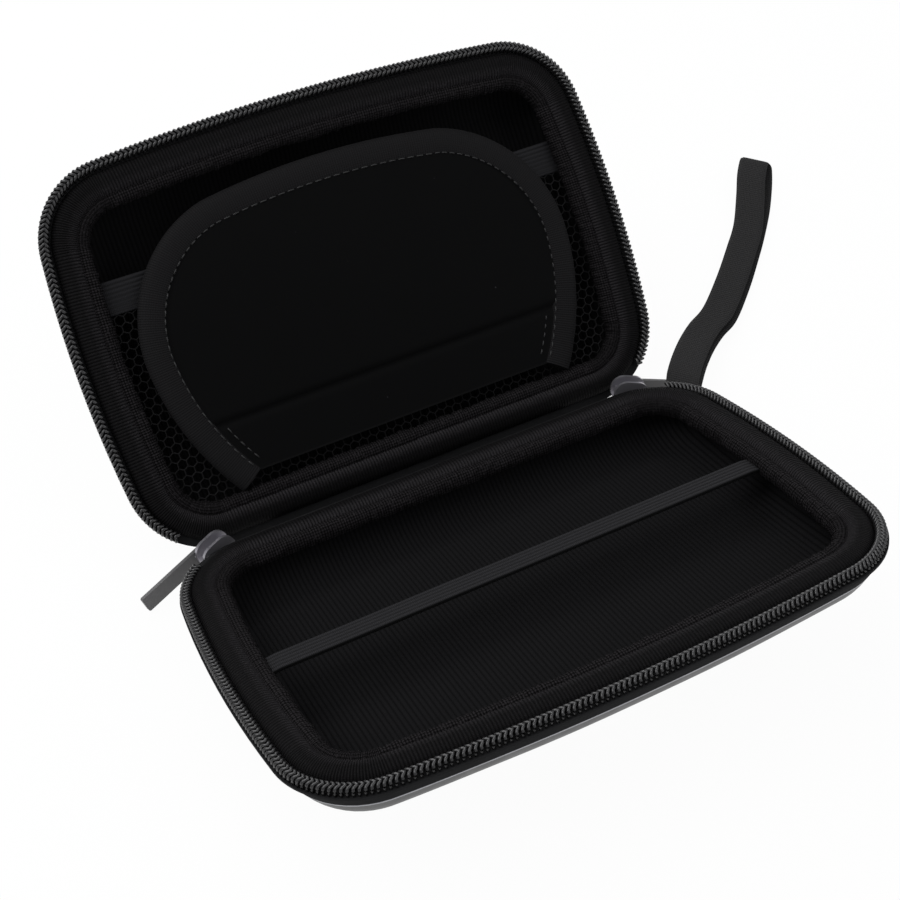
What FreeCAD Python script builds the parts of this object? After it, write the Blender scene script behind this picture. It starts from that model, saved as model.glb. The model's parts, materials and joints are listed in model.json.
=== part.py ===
"""Zipped shell case for a handheld console, standing open: padded screen flap, net pocket, wrist loop.

The case frame has its parting plane at height 0, X along the hinge and the hinge on the +Y side. The base hangs
below that plane. The lid is drawn closed, above it, and then turned open about the hinge. The open case leans
back until both shells touch the ground, so every piece gets a placement that tips the case frame by that angle
and puts the origin at the centre of the base's flat underside.
"""
import FreeCAD, Part
import math
import os

import Sketcher
from FreeCAD import Placement, Rotation, Vector

SIZES = {
    # rim outline, seen from above, at the outer edge of the zip
    "half_width": 89.0,
    "front_reach": 62.6,
    "hinge_reach": 57.5,
    "side_radius": 360.0,
    "front_radius": 700.0,
    "corner_radius": 25.0,
    # moulded shells
    "base_depth": 20.0,
    "lid_depth": 22.0,
    "shell_wall": 3.4,
    "shell_draft": 30.0,
    "shell_fillet": 18.0,
    "shell_inset": 0.6,
    # zip
    "row_clearance": 0.25,
    "tooth_height": 3.05,
    "tooth_width": 2.6,
    "tooth_length": 0.95,
    "tooth_pitch": 2.1,
    "tooth_inset": 0.3,
    "row_end_gap": 3.0,
    "tape_wall": 0.6,
    "tape_width": 8.2,
    # rolled binding and gathered lining edge
    "roll_inset": 4.2,
    "roll_width": 6.8,
    "roll_clearance": 0.3,
    "roll_skirt": 2.2,
    "roll_drop": 3.2,
    "edge_width": 3.6,
    "edge_wall": 3.6,
    "edge_drop": 1.3,
    "hinge_set_out": 1.2,
    # hinge
    "hinge_drop": 5.3,
    "open_angle": 117.0,
    "strip_wall": 0.7,
    "strip_fall": 3.6,
    "strip_reach": 4.8,
    "strip_length": 100.0,
    # base band
    "base_band_width": 6.5,
    "base_band_wall": 1.0,
    "base_band_drop": 3.6,
    # net pocket
    "net_height": 5.7,
    "net_wall": 0.6,
    "net_mouth": 16.0,
    "net_hole": 9.4,
    "net_bar": 3.2,
    "pocket_band_width": 10.0,
    "pocket_band_wall": 0.9,
    # screen flap
    "flap_half_width": 69.4,
    "flap_reach": 42.8,
    "flap_foot_half": 53.5,
    "flap_shoulder_half": 54.5,
    "flap_shoulder_reach": 31.3,
    "flap_top_half": 38.0,
    "flap_top_reach": 39.8,
    "crease_set_back": 23.5,
    "crease_gap": 0.6,
    "flap_height": 1.0,
    "flap_wall": 3.2,
    "flap_binding_width": 8.5,
    "flap_binding_wall": 4.2,
    # sliders and pull tabs
    "slider_angle": 75.0,
    "slider_drop": 5.0,
    "slider_tilt": 16.0,
    "slider_length": 11.0,
    "slider_breadth": 8.4,
    "plate_wall": 1.0,
    "coil_slot": 3.2,
    "bail_wall": 0.9,
    "bail_breadth": 2.0,
    "pin_radius": 0.6,
    "pin_clearance": 0.2,
    "tab_length": 25.0,
    "tab_breadth": 5.0,
    "tab_wall": 1.2,
    # wrist loop
    "loop_width": 10.5,
    "webbing_wall": 1.1,
    "loop_length": 134.0,
    "loop_root_angle": 37.0,
    "loop_heading": 44.0,
    "loop_touch": 56.0,
    "loop_eye": 2.7,
    "loop_drop": 2.2,
    "loop_stand_off": 2.5,
}

doc = FreeCAD.newDocument("case")
sheet = doc.addObject("Spreadsheet::Sheet", "Sizes")
for row, (alias, value) in enumerate(SIZES.items(), start=1):
    sheet.set(f"A{row}", alias.replace("_", " "))
    sheet.set(f"B{row}", str(value))
    sheet.setAlias(f"B{row}", alias)
doc.recompute()


def size(name):
    return float(getattr(sheet, name))


def tan(degrees):
    return math.tan(math.radians(degrees))


def sin(degrees):
    return math.sin(math.radians(degrees))


def cos(degrees):
    return math.cos(math.radians(degrees))


# Levels that several pieces share, measured from the parting plane towards each shell's own outside.
TAPE_TOP = size("row_clearance") + size("tooth_height")
SHELL_TOP = TAPE_TOP + size("tape_wall")
ROLL_IN = size("roll_inset") + size("roll_width")
EDGE_IN = ROLL_IN + size("edge_width")
UP = Vector(0, 0, 1)
HINGE = Vector(0, size("hinge_reach"), -size("hinge_drop"))
PIN_GAP = 2 * (size("pin_radius") + size("pin_clearance"))
# Flat steps in the rounding of each shell, outside and inside.
OUTER_STEPS = 4
INNER_STEPS = 2


def rim(inset, set_out=0.0):
    """Centres and radii of the rim outline moved inwards by inset; set_out moves its hinge side back out."""
    n = {
        "hinge": size("hinge_reach") - inset + set_out,
        "corner": size("corner_radius") - inset,
        "side": size("side_radius") - inset,
        "front": size("front_radius") - inset,
        "side_x": size("half_width") - size("side_radius"),
        "front_y": size("front_radius") - size("front_reach"),
    }
    n["back_y"] = n["hinge"] - n["corner"]
    to_side = n["side"] - n["corner"]
    to_front = n["front"] - n["corner"]
    n["back_x"] = n["side_x"] + math.sqrt(to_side**2 - n["back_y"] ** 2)
    # the front corner's centre is where its circle touches both long arcs from inside
    apart = math.hypot(n["side_x"], n["front_y"])
    along = (to_side**2 - to_front**2 + apart**2) / (2 * apart)
    across = math.sqrt(to_side**2 - along**2)
    ux, uy = -n["side_x"] / apart, n["front_y"] / apart
    n["fore_x"] = n["side_x"] + along * ux + across * uy
    n["fore_y"] = along * uy - across * ux
    n["back_angle"] = math.atan2(n["back_y"], n["back_x"] - n["side_x"])
    n["fore_angle"] = math.atan2(n["fore_y"], n["fore_x"] - n["side_x"])
    n["front_angle"] = math.atan2(n["fore_y"] - n["front_y"], n["fore_x"])
    return n


def rim_arcs(n):
    """The outline's seven arcs, anticlockwise from the left hinge corner: centre, radius, start, end."""
    pi = math.pi
    back, fore, front = n["back_angle"], n["fore_angle"], n["front_angle"]
    return [
        (-n["back_x"], n["back_y"], n["corner"], pi / 2, pi - back),
        (-n["side_x"], 0.0, n["side"], pi - back, pi - fore),
        (-n["fore_x"], n["fore_y"], n["corner"], pi - fore, pi - front),
        (0.0, n["front_y"], n["front"], -pi - front, front),
        (n["fore_x"], n["fore_y"], n["corner"], front, fore),
        (n["side_x"], 0.0, n["side"], fore, back),
        (n["back_x"], n["back_y"], n["corner"], back, pi / 2),
    ]


def origin_plane(body, role):
    return next(item for item in body.Origin.OriginFeatures if item.Role == role)


def new_sketch(body, name, height="0 mm", role="XY_Plane"):
    """A sketch on one of the body's own planes, raised by the expression height."""
    sketch = body.newObject("Sketcher::SketchObject", name)
    sketch.AttachmentSupport = [(origin_plane(body, role), "")]
    sketch.MapMode = "FlatFace"
    sketch.setExpression("AttachmentOffset.Base.z", height)
    return sketch


def datum(sketch, name, expression, *constraint):
    index = sketch.addConstraint(Sketcher.Constraint(*constraint))
    sketch.renameConstraint(index, name)
    sketch.setExpression("Constraints." + name, expression)


def add_outline(sketch, inset_value, inset, set_out_value=0.0, set_out="0"):
    """Draw the rim outline at an inset in a sketch, each radius and distance bound to the sheet."""
    first = sketch.GeometryCount
    n = rim(inset_value, set_out_value)
    back = Part.LineSegment(Vector(n["back_x"], n["hinge"], 0), Vector(-n["back_x"], n["hinge"], 0))
    arcs = [Part.ArcOfCircle(Part.Circle(Vector(x, y, 0), UP, r), a, b) for x, y, r, a, b in rim_arcs(n)]
    sketch.addGeometry([back] + arcs, False)
    line, left, fore, front, right = first, first + 2, first + 3, first + 4, first + 6
    for k in range(8):
        sketch.addConstraint(Sketcher.Constraint("Tangent", first + k, 2, first + (k + 1) % 8, 1))
    for rule in (("Horizontal", line), ("PointOnObject", front, 3, -2), ("PointOnObject", right, 3, -1),
                 ("Symmetric", left, 3, right, 3, -2), ("Equal", first + 1, fore), ("Equal", fore, first + 5),
                 ("Equal", first + 5, first + 7), ("Equal", left, right)):
        sketch.addConstraint(Sketcher.Constraint(*rule))
    tag = f"_{first}"
    datum(sketch, "corner" + tag, f"Sizes.corner_radius - ({inset})", "Radius", first + 7, n["corner"])
    datum(sketch, "side" + tag, f"Sizes.side_radius - ({inset})", "Radius", right, n["side"])
    datum(sketch, "front" + tag, f"Sizes.front_radius - ({inset})", "Radius", front, n["front"])
    datum(sketch, "side_x" + tag, "Sizes.half_width - Sizes.side_radius",
          "DistanceX", -1, 1, right, 3, n["side_x"])
    datum(sketch, "front_y" + tag, "Sizes.front_radius - Sizes.front_reach",
          "DistanceY", -1, 1, front, 3, n["front_y"])
    datum(sketch, "hinge" + tag, f"Sizes.hinge_reach - ({inset}) + ({set_out})",
          "DistanceY", -1, 1, line, 1, n["hinge"])


def bend_sections(depth, wall, steps):
    """Sections of a shell surface that stands in by wall, from its top edge down: (inset, level) pairs.

    depth is a name in the sheet and wall an expression of it. Each pair holds two expressions. The rounding
    below the drafted wall is a row of flat steps whose corners lie on the rounding's circle.
    """
    top = "(Sizes.row_clearance + Sizes.tooth_height + Sizes.tape_wall)"
    start = f"(Sizes.{depth} - Sizes.shell_fillet * (1 - sin(Sizes.shell_draft * 1 deg)) - {top})"
    centre = (f"Sizes.shell_inset + {start} * tan(Sizes.shell_draft * 1 deg)"
              " + Sizes.shell_fillet * cos(Sizes.shell_draft * 1 deg)")
    sections = [(f"Sizes.shell_inset + ({wall}) / cos(Sizes.shell_draft * 1 deg)", top)]
    for k in range(steps + 1):
        turn = f"(Sizes.shell_draft + (90 - Sizes.shell_draft) * {k} / {steps}) * 1 deg"
        radius = f"(Sizes.shell_fillet - ({wall}))"
        sections.append((f"{centre} - {radius} * cos({turn})",
                         f"Sizes.{depth} - Sizes.shell_fillet + {radius} * sin({turn})"))
    return sections


def stepped_block(label, up, depth, wall, steps):
    """A drafted block under the rim outline whose bottom edge is rounded in flat steps; up is 1 for the lid."""
    body = doc.addObject("PartDesign::Body", label)
    sketches = []
    for k, (inset, level) in enumerate(bend_sections(depth, wall, steps)):
        sketch = new_sketch(body, f"{label}_outline_{k}", ("" if up > 0 else "-") + f"({level}) * 1 mm")
        add_outline(sketch, float(sketch.evalExpression(inset)), inset)
        sketches.append(sketch)
    block = body.newObject("PartDesign::AdditiveLoft", label + "_block")
    block.Profile = sketches[0]
    block.Sections = sketches[1:]
    block.Ruled = True
    doc.recompute()
    return body


def tray(label, up, depth):
    """A moulded tray of even wall: one rounded block less a smaller one."""
    cut = doc.addObject("Part::Cut", label)
    cut.Base = stepped_block(label + "_outside", up, depth, "0", OUTER_STEPS)
    cut.Tool = stepped_block(label + "_inside", up, depth, "Sizes.shell_wall", INNER_STEPS)
    doc.recompute()
    return cut


def zip_tape(label, up):
    """Flat woven tape, sewn all round on the shell's top edge."""
    body = doc.addObject("PartDesign::Body", label)
    level = "Sizes.row_clearance + Sizes.tooth_height"
    sketch = new_sketch(body, label + "_ring", ("" if up > 0 else "-") + f"({level}) * 1 mm")
    outer = size("tooth_inset")
    add_outline(sketch, outer, "Sizes.tooth_inset")
    add_outline(sketch, outer + size("tape_width"), "Sizes.tooth_inset + Sizes.tape_width",
                size("hinge_set_out"), "Sizes.hinge_set_out")
    pad = body.newObject("PartDesign::Pad", label + "_weave")
    pad.Profile = sketch
    pad.Reversed = up < 0
    pad.setExpression("Length", "Sizes.tape_wall")
    doc.recompute()
    return body


def loose(label, shape):
    """A piece whose shape is worked out from the sheet by the functions below."""
    feature = doc.addObject("Part::Feature", label)
    feature.Shape = shape
    return feature


def rim_point(n, arc, angle):
    x, y, r = arc[:3]
    return Vector(x + r * math.cos(angle), y + r * math.sin(angle), 0)


def swept(profile, up):
    """Carry a profile face, drawn with x as the inset and z as the drop, round the whole outline."""
    n = rim(0.0, size("hinge_set_out"))
    face = profile if up < 0 else profile.mirror(Vector(), UP)
    pieces = []
    for arc in rim_arcs(n):
        x, y, _, start, end = arc
        placed = face.copy()
        placed.Placement = Placement(rim_point(n, arc, start), Rotation(UP, math.degrees(start) + 180))
        pieces.append(placed.revolve(Vector(x, y, 0), UP, math.degrees(end - start)))
    placed = face.copy()
    placed.Placement = Placement(Vector(n["back_x"], n["hinge"], 0), Rotation(UP, 270))
    pieces.append(placed.extrude(Vector(-2 * n["back_x"], 0, 0)))
    whole = pieces[0].multiFuse(pieces[1:]).removeSplitter()
    return Part.Solid(whole.Solids[0])


def profile(points):
    corners = [Vector(x, 0, z) for x, z in points]
    return Part.Face(Part.makePolygon(corners + corners[:1]))


def roll_profile():
    """Section of the rolled binding: a crowned roll on the tape, with a skirt down its inner side."""
    start, end, wide = size("roll_inset"), ROLL_IN, size("roll_width")
    crest, foot = -size("roll_clearance"), -TAPE_TOP
    height = crest - foot
    skirt, heel = foot - size("roll_drop"), end - size("roll_skirt")
    if size("tooth_inset") + size("tape_width") > heel:
        raise RuntimeError("the roll's skirt has to hang clear of the tape")
    crown = [(0.0, 0.0), (0.18, 0.8), (0.62, 1.0), (1.0, 0.1)]
    return profile([(start + wide * x, foot + height * z) for x, z in crown]
                   + [(end, skirt), (heel, skirt), (heel, foot)])


def edge_profile():
    """Section of the gathered lining edge beside the roll."""
    start, end, wide = ROLL_IN, EDGE_IN, size("edge_width")
    high, wall = -size("edge_drop"), size("edge_wall")
    low = high - wall
    return profile([(start, low), (end - 0.2 * wide, low), (end, low + 0.6 * wall), (end - 0.5 * wide, high),
                    (start, low + 0.67 * wall)])


def teeth(up):
    """One row of zip teeth on the tape, from one hinge corner round the front to the other."""
    low, high = TAPE_TOP, size("row_clearance")
    half, length = size("tooth_width") / 2, size("tooth_length")
    section = [Vector(-half, -length / 2, up * low), Vector(half, -length / 2, up * low),
               Vector(half * 0.4, -length / 2, up * high)]
    tooth = Part.Face(Part.makePolygon(section + section[:1])).extrude(Vector(0, length, 0))
    n = rim(size("tooth_inset") + half)
    arcs = rim_arcs(n)
    end = math.radians(size("slider_angle")) - (size("slider_length") / 2 + size("row_end_gap")) / size("corner_radius")
    arcs[0] = arcs[0][:3] + (math.pi - end, arcs[0][4])
    arcs[-1] = arcs[-1][:4] + (end,)
    total = sum(r * (b - a) for _, _, r, a, b in arcs)
    count = int(total / size("tooth_pitch"))
    row, travelled, wanted = [], 0.0, (total - (count - 1) * size("tooth_pitch")) / 2
    for arc in arcs:
        reach = arc[2] * (arc[4] - arc[3])
        while wanted <= travelled + reach and len(row) < count:
            angle = arc[3] + (wanted - travelled) / arc[2]
            one = tooth.copy()
            one.Placement = Placement(rim_point(n, arc, angle), Rotation(UP, math.degrees(angle)))
            row.append(one)
            wanted += size("tooth_pitch")
        travelled += reach
    return Part.makeCompound(row)


def outline_face(inset, height):
    """A flat face filling the outline of the binding at one inset and height."""
    n = rim(inset, size("hinge_set_out"))
    edges = [Part.makeLine(Vector(n["back_x"], n["hinge"], 0), Vector(-n["back_x"], n["hinge"], 0))]
    for x, y, r, start, end in rim_arcs(n):
        circle = Part.Circle(Vector(x, y, 0), UP, r)
        edges.append(Part.Arc(circle, start, end).toShape())
    face = Part.Face(Part.Wire(Part.__sortEdges__(edges)))
    face.translate(Vector(0, 0, height))
    return face


def box(x0, y0, z0, x1, y1, z1):
    return Part.makeBox(x1 - x0, y1 - y0, z1 - z0, Vector(x0, y0, z0))


def net():
    """The pocket's net: one thin wall with staggered six-sided gaps, sewn under the lid's rim."""
    height, wall = size("net_height"), size("net_wall")
    mouth = -size("net_mouth")
    inset = ROLL_IN
    sheet_solid = outline_face(inset, height).extrude(Vector(0, 0, wall))
    far = size("half_width")
    sheet_solid = sheet_solid.common(box(-far, mouth, height - 1, far, far, height + wall + 1))
    hole, bar = size("net_hole"), size("net_bar")
    pitch_x = hole + bar
    pitch_y = pitch_x * sin(60)
    keep = rim(inset + bar)
    holes = []
    rows = int((keep["hinge"] - mouth - 2 * bar) / pitch_y)
    for r in range(rows):
        y = mouth + bar + hole / 2 + r * pitch_y
        shift = pitch_x / 2 if r % 2 else 0.0
        limit = half_span(keep, y + hole / 2) - hole / 2
        count = int((limit - shift) / pitch_x)
        for k in range(-count, count + (0 if r % 2 else 1)):
            x = k * pitch_x + shift
            points = [Vector(x + hole / 2 / cos(30) * cos(60 * t + 30), y + hole / 2 / cos(30) * sin(60 * t + 30),
                             height - 1) for t in range(6)]
            holes.append(Part.Face(Part.makePolygon(points + points[:1])).extrude(Vector(0, 0, wall + 2)))
    if len(holes) > 120:
        raise RuntimeError("the net has more gaps than it may have")
    return Part.Solid(sheet_solid.cut(Part.makeCompound(holes)).Solids[0])


def pocket_band():
    """Flat elastic along the net's mouth, from binding to binding."""
    wall = size("pocket_band_wall")
    low = size("net_height") + size("net_wall") / 2 - wall / 2
    mouth = -size("net_mouth")
    blank = outline_face(ROLL_IN, low).extrude(Vector(0, 0, wall))
    far = size("half_width")
    strip = blank.common(box(-far, mouth - size("pocket_band_width"), low - 1, far, mouth, low + wall + 1))
    return Part.Solid(strip.Solids[0])


def half_span(n, y):
    """Half-width of an outline at one y, on its side arc or its hinge corner."""
    if y <= n["back_y"]:
        return n["side_x"] + math.sqrt(n["side"] ** 2 - y**2)
    return n["back_x"] + math.sqrt(max(n["corner"] ** 2 - (y - n["back_y"]) ** 2, 0.0))


def flap_face(grow):
    """The flap's outline as a face, moved inwards by grow: bulging sides, round shoulders, flat top."""
    half, reach = size("flap_half_width"), size("flap_reach")
    foot, heel = size("flap_foot_half"), size("hinge_reach") - ROLL_IN
    crease = size("crease_set_back")
    shoulder = (size("flap_shoulder_half"), -size("flap_shoulder_reach"))
    top = (size("flap_top_half"), -size("flap_top_reach"))
    bulge = half - (half - foot) * (crease / heel) ** 2
    right = [(foot, heel), (bulge, crease), (half, 0.0)]
    right += [(half - 0.31 * (half - shoulder[0]), 0.59 * shoulder[1]), shoulder]
    right += [((shoulder[0] + top[0]) / 2 + 0.8, (shoulder[1] + top[1]) / 2 - 0.8), top]
    right = [Vector(x, y, 0) for x, y in right]
    left = [Vector(-p.x, p.y, 0) for p in right]
    edges = [Part.Arc(right[k], right[k + 1], right[k + 2]).toShape() for k in (0, 2, 4)]
    edges.append(Part.Arc(right[6], Vector(0, -reach, 0), left[6]).toShape())
    edges += [Part.Arc(left[k + 2], left[k + 1], left[k]).toShape() for k in (4, 2, 0)]
    edges.append(Part.makeLine(left[0], right[0]))
    wire = Part.Wire(edges)
    return Part.Face(wire.makeOffset2D(-grow, 2) if grow else wire)


def flap_pieces():
    """The boarded panel, the binding round its free edge, and the plain part between crease and rim."""
    height, wall, bind = size("flap_height"), size("flap_wall"), size("flap_binding_wall")
    crease, half_gap = size("crease_set_back"), size("crease_gap") / 2
    far = size("half_width")
    free = box(-far, -far, 0, far, crease - half_gap, 10)
    outer, inner = flap_face(0.0), flap_face(size("flap_binding_width"))
    panel = inner.extrude(Vector(0, 0, wall)).common(free)
    ring = outer.extrude(Vector(0, 0, bind)).cut(inner.extrude(Vector(0, 0, bind))).common(free)
    heel = size("hinge_reach") + size("hinge_set_out") - EDGE_IN
    still = outer.extrude(Vector(0, 0, wall)).common(box(-far, crease + half_gap, 0, far, heel, 10))
    panel.translate(Vector(0, 0, height))
    ring.translate(Vector(0, 0, height - (bind - wall) / 2))
    still.translate(Vector(0, 0, height))
    return [Part.Solid(piece.Solids[0]) for piece in (panel, ring, still)]


def slider_frame(side):
    """Placement of a slider at a hinge corner: X towards the zip's end, Z away from the case."""
    n = rim(size("tooth_inset"))
    turn, tilt = size("slider_angle"), size("slider_tilt")
    out = Vector(side * cos(turn), sin(turn), 0)
    along = Vector(-side * sin(turn) * cos(tilt), cos(turn) * cos(tilt), sin(tilt))
    across = out.cross(along)
    stand = n["corner"] + 0.05 + size("plate_wall") + size("coil_slot") / 2
    centre = Vector(side * n["back_x"], n["back_y"], -size("slider_drop")) + out * stand
    matrix = FreeCAD.Matrix(along.x, across.x, out.x, centre.x, along.y, across.y, out.y, centre.y,
                            along.z, across.z, out.z, centre.z, 0, 0, 0, 1)
    return Placement(matrix)


def slider():
    """Two plates joined by a post, with a bridge for the pull, in the slider's own frame."""
    length, breadth, plate = size("slider_length"), size("slider_breadth"), size("plate_wall")
    slot, bail, gap = size("coil_slot"), size("bail_wall"), PIN_GAP

    def plate_at(z):
        blank = box(-length / 2, -breadth / 2, z, length / 2, breadth / 2, z + plate)
        corners = [edge for edge in blank.Edges if abs(edge.BoundBox.ZLength - plate) < 1e-6]
        return blank.makeFillet(breadth * 0.45, corners)

    top = slot / 2 + plate
    parts = [plate_at(slot / 2), plate_at(-slot / 2 - plate)]
    parts.append(box(length / 2 - 3.4, -1.0, -slot / 2, length / 2 - 1.0, 1.0, slot / 2))
    half, wide = 3.6, size("bail_breadth") / 2
    for x in (-half, half - bail):
        parts.append(box(x, -wide, top, x + bail, wide, top + gap + bail))
    parts.append(box(-half, -wide, top + gap, half, wide, top + gap + bail))
    return Part.Solid(parts[0].multiFuse(parts[1:]).removeSplitter().Solids[0])


def pull_tab():
    """The pull in its own frame: a pin through the origin along Y, two arms and a flat tab towards -X."""
    radius, breadth, wall = size("pin_radius"), size("tab_breadth"), size("tab_wall")
    arm, start, end = 1.2, -5.4, -size("tab_length")
    bar = Part.makeCylinder(radius, breadth, Vector(0, -breadth / 2, 0), Vector(0, 1, 0))
    arms = [box(start - 0.4, y, -radius, 0, y + arm, radius) for y in (-breadth / 2, breadth / 2 - arm)]
    tab = box(end, -breadth / 2, -wall / 2, start, breadth / 2, wall / 2)
    ends = [edge for edge in tab.Edges
            if abs(edge.BoundBox.ZLength - wall) < 1e-6 and edge.BoundBox.XMax < start - 1]
    tab = tab.makeFillet(0.6, ends)
    return Part.Solid(bar.multiFuse(arms + [tab]).removeSplitter().Solids[0])


def pull_frame(side):
    """Placement of a pull, its pin held under the slider's bridge."""
    pin = Vector(0, 0, size("coil_slot") / 2 + size("plate_wall") + PIN_GAP / 2)
    return slider_frame(side).multiply(Placement(pin, Rotation()))


def fillet_centre(depth):
    """Centre of a shell's bottom rounding in the section across the hinge, as inset and drop."""
    draft, radius = size("shell_draft"), size("shell_fillet")
    start = depth - radius * (1 - sin(draft))
    inset = size("shell_inset") + (start - SHELL_TOP) * tan(draft)
    return inset + radius * cos(draft), depth - radius


OPEN = Placement(Vector(), Rotation(Vector(1, 0, 0), -size("open_angle")), HINGE)


# The open case leans back onto the line that touches the rounding of both shells.
base_in, base_drop = fillet_centre(size("base_depth"))
lid_in, lid_rise = fillet_centre(size("lid_depth"))
BASE_ROUND = Vector(0, size("hinge_reach") - base_in, -base_drop)
LID_ROUND = OPEN.multVec(Vector(0, size("hinge_reach") - lid_in, lid_rise))
LEAN = math.degrees(math.atan2(LID_ROUND.z - BASE_ROUND.z, LID_ROUND.y - BASE_ROUND.y))
tip = Rotation(Vector(1, 0, 0), -LEAN)
CASE = Placement(tip.multVec(Vector(0, 0, size("base_depth"))), tip)
GROUND = CASE.multVec(BASE_ROUND).z - size("shell_fillet")
LID = CASE.multiply(OPEN)


def wrist_loop():
    """Flattened webbing loop: out of the rim's back corner, down, and along the ground to a narrow eye."""
    wall, eye, width = size("webbing_wall"), size("loop_eye"), size("loop_width")
    reach, heading = size("loop_length"), size("loop_heading")
    below = size("loop_drop")
    corner = rim(size("shell_inset") + below * tan(size("shell_draft")))
    turn = size("loop_root_angle")
    seat = Vector(corner["back_x"], corner["back_y"], -SHELL_TOP - below)
    seat += Vector(cos(turn), sin(turn), 0) * corner["corner"]
    seat = CASE.multVec(seat)
    top = seat.z - GROUND
    layer = wall + 0.6
    low = wall / 2
    start = wall / 2 + size("loop_stand_off")
    touch, end = size("loop_touch"), reach - eye - wall / 2
    # middle line of the webbing in its own upright plane: x along the loop, z up from the ground
    fall = [(start, top), (0.18 * touch, 0.82 * top), (0.6 * touch, 0.44 * top), (touch, low + layer / 2)]
    line = [(x, z - layer / 2) for x, z in fall] + [(end, low)]
    back = [(end, low + 2 * eye), (reach - 24.0, low + layer)]
    back += [(x, z + layer / 2) for x, z in reversed(fall)]
    line = [Vector(x, 0, z) for x, z in line]
    back = [Vector(x, 0, z) for x, z in back]
    bend = Part.Arc(line[-1], Vector(reach - wall / 2, 0, low + eye), back[0]).toShape()
    middle = Part.Wire(Part.makePolygon(line).Edges + [bend] + Part.makePolygon(back + line[:1]).Edges)
    outer = middle.makeOffset2D(wall / 2, 2)
    inner = middle.makeOffset2D(-wall / 2, 2)
    section = Part.Face(outer).cut(Part.Face(inner)).Faces[0]
    strip = section.extrude(Vector(0, width, 0))
    strip.translate(Vector(0, -width / 2, 0))
    strip.rotate(Vector(), UP, heading)
    strip.translate(Vector(seat.x, seat.y, GROUND))
    return Part.Solid(strip.Solids[0])


def band(label):
    """The base's elastic band, straight across the tray."""
    body = doc.addObject("PartDesign::Body", label)
    sketch = new_sketch(body, label + "_plan", "-(Sizes.base_band_drop) * 1 mm")
    x, y = size("half_width") - EDGE_IN, size("base_band_width") / 2
    corners = [Vector(-x, -y, 0), Vector(x, -y, 0), Vector(x, y, 0), Vector(-x, y, 0)]
    sketch.addGeometry([Part.LineSegment(corners[k], corners[(k + 1) % 4]) for k in range(4)], False)
    for k in range(4):
        sketch.addConstraint(Sketcher.Constraint("Coincident", k, 2, (k + 1) % 4, 1))
        sketch.addConstraint(Sketcher.Constraint("Vertical" if k % 2 else "Horizontal", k))
    sketch.addConstraint(Sketcher.Constraint("Symmetric", 0, 1, 1, 2, -1, 1))
    datum(sketch, "width", "Sizes.base_band_width", "DistanceY", 1, 1, 1, 2, 2 * y)
    ends = "Sizes.half_width - Sizes.roll_inset - Sizes.roll_width - Sizes.edge_width"
    datum(sketch, "length", f"2 * ({ends})", "DistanceX", 0, 1, 0, 2, 2 * x)
    pad = body.newObject("PartDesign::Pad", label + "_weave")
    pad.Profile = sketch
    pad.Reversed = True
    pad.setExpression("Length", "Sizes.base_band_wall")
    return body


def hinge_strip(label):
    """Sloping fabric strip behind the base's rim, kept inside the circle that the lid's rim swings round."""
    body = doc.addObject("PartDesign::Body", label)
    sketch = new_sketch(body, label + "_section", "0 mm", "YZ_Plane")
    start, high = size("hinge_reach") - size("tooth_inset"), -TAPE_TOP
    end, wall = size("hinge_reach") + size("strip_reach"), size("strip_wall")
    low = high - size("strip_fall")
    corners = [Vector(start, high, 0), Vector(start, high - wall, 0), Vector(end, low - wall, 0),
               Vector(end, low, 0)]
    sketch.addGeometry([Part.LineSegment(corners[k], corners[(k + 1) % 4]) for k in range(4)], False)
    for k in range(4):
        sketch.addConstraint(Sketcher.Constraint("Coincident", k, 2, (k + 1) % 4, 1))
    sketch.addConstraint(Sketcher.Constraint("Vertical", 0))
    sketch.addConstraint(Sketcher.Constraint("Vertical", 2))
    sketch.addConstraint(Sketcher.Constraint("Parallel", 1, 3))
    datum(sketch, "start", "Sizes.hinge_reach - Sizes.tooth_inset", "DistanceX", -1, 1, 0, 1, start)
    datum(sketch, "height", "Sizes.row_clearance + Sizes.tooth_height", "DistanceY", 0, 1, -1, 1, -high)
    datum(sketch, "wall", "Sizes.strip_wall", "DistanceY", 0, 2, 0, 1, wall)
    datum(sketch, "reach", "Sizes.strip_reach + Sizes.tooth_inset", "DistanceX", 0, 1, 3, 1, end - start)
    datum(sketch, "fall", "Sizes.strip_fall", "DistanceY", 3, 1, 0, 1, high - low)
    pad = body.newObject("PartDesign::Pad", label + "_fabric")
    pad.Profile = sketch
    pad.Midplane = True
    pad.setExpression("Length", "Sizes.strip_length")
    return body


def placed(item, placement):
    item.Placement = placement
    return item


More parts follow.
